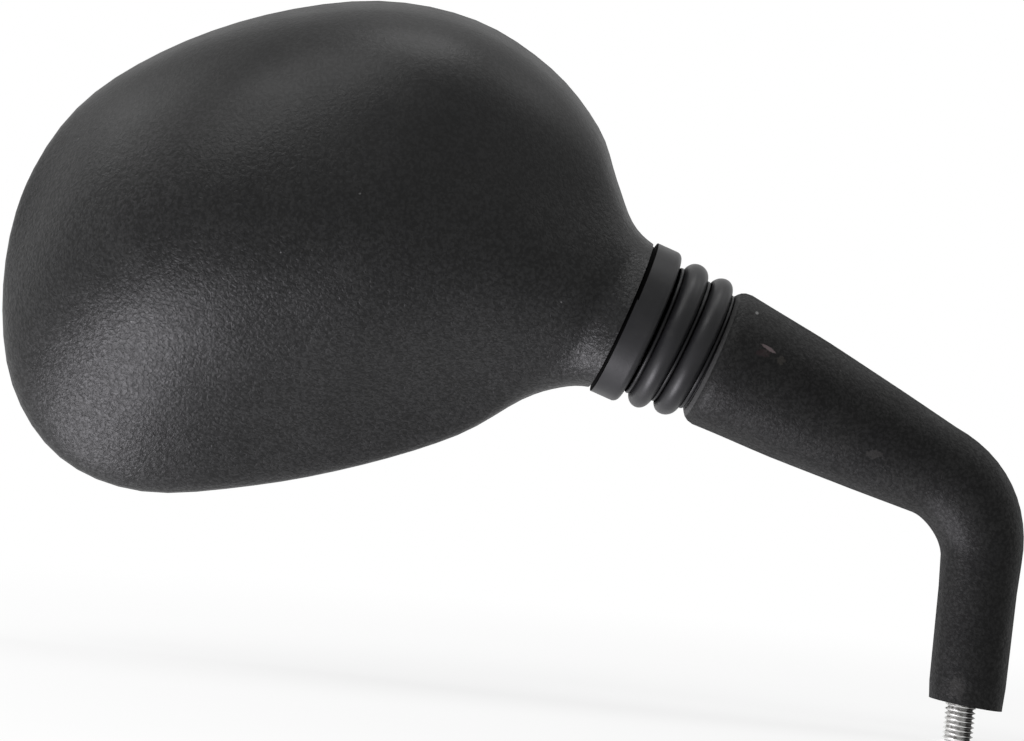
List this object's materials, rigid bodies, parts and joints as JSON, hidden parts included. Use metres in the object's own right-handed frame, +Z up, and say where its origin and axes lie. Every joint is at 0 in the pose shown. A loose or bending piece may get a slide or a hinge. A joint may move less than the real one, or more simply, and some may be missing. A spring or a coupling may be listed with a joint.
{
  "type": "motorcycle mirror",
  "caption": "Rear-view mirror for a light motorcycle: teardrop housing on a ball joint under rubber bellows, tapered bent arm, threaded stud at the foot.",
  "frame": {"origin": "on the mounting stud's axis, at the plane that the lowest edge of the arm's foot rests on", "axes": "+Z up along the stud's axis into the arm, +Y towards the glass side and the rider, +X away from the housing"},
  "size_m": [0.2709, 0.0578, 0.1757],
  "materials": {
    "arm_plastic": "fine-grained black moulding",
    "zinc_steel": "bright zinc plating",
    "bare_steel": "ground steel, lightly greased",
    "black_rubber": "satin black rubber",
    "liner_plastic": "natural low-friction plastic",
    "housing_plastic": "fine-grained black moulding with light wear",
    "spring_steel": "dark tempered steel",
    "bezel_plastic": "smooth black moulding",
    "mirror_glass": "silvered, slightly convex",
    "backing_plastic": "plain dark grey plastic"
  },
  "bodies": {
    "arm": {"arm": "arm_plastic", "mounting_stud": "zinc_steel", "ball_stud": "bare_steel", "stud_nut": "zinc_steel"},
    "bellows": {"bellows": "black_rubber"},
    "liner": {"ball_liner": "liner_plastic"},
    "head": {"housing": "housing_plastic", "pressure_cup": "bare_steel", "disc_springs": "spring_steel", "retainer_plate": "zinc_steel", "plate_screws": "zinc_steel", "bezel": "bezel_plastic", "mirror_glass": "mirror_glass", "glass_backing": "backing_plastic"}
  },
  "joints": [
    {"name": "rock", "type": "hinge", "parent": "arm", "child": "bellows", "pos_m": [-0.109, 0, 0.09475], "axis": [0, 1, 0], "range_deg": [-10, 10], "deforming": ["bellows"]},
    {"name": "pan", "type": "hinge", "parent": "bellows", "child": "liner", "pos_m": [-0.109, 0, 0.09475], "axis": [0.309, 0, 0.9511], "range_deg": [-15, 15], "deforming": ["bellows"]},
    {"name": "turn", "type": "hinge", "parent": "liner", "child": "head", "pos_m": [-0.109, 0, 0.09475], "axis": [-0.9511, 0, 0.309], "range_deg": [-20, 20]}
  ]
}
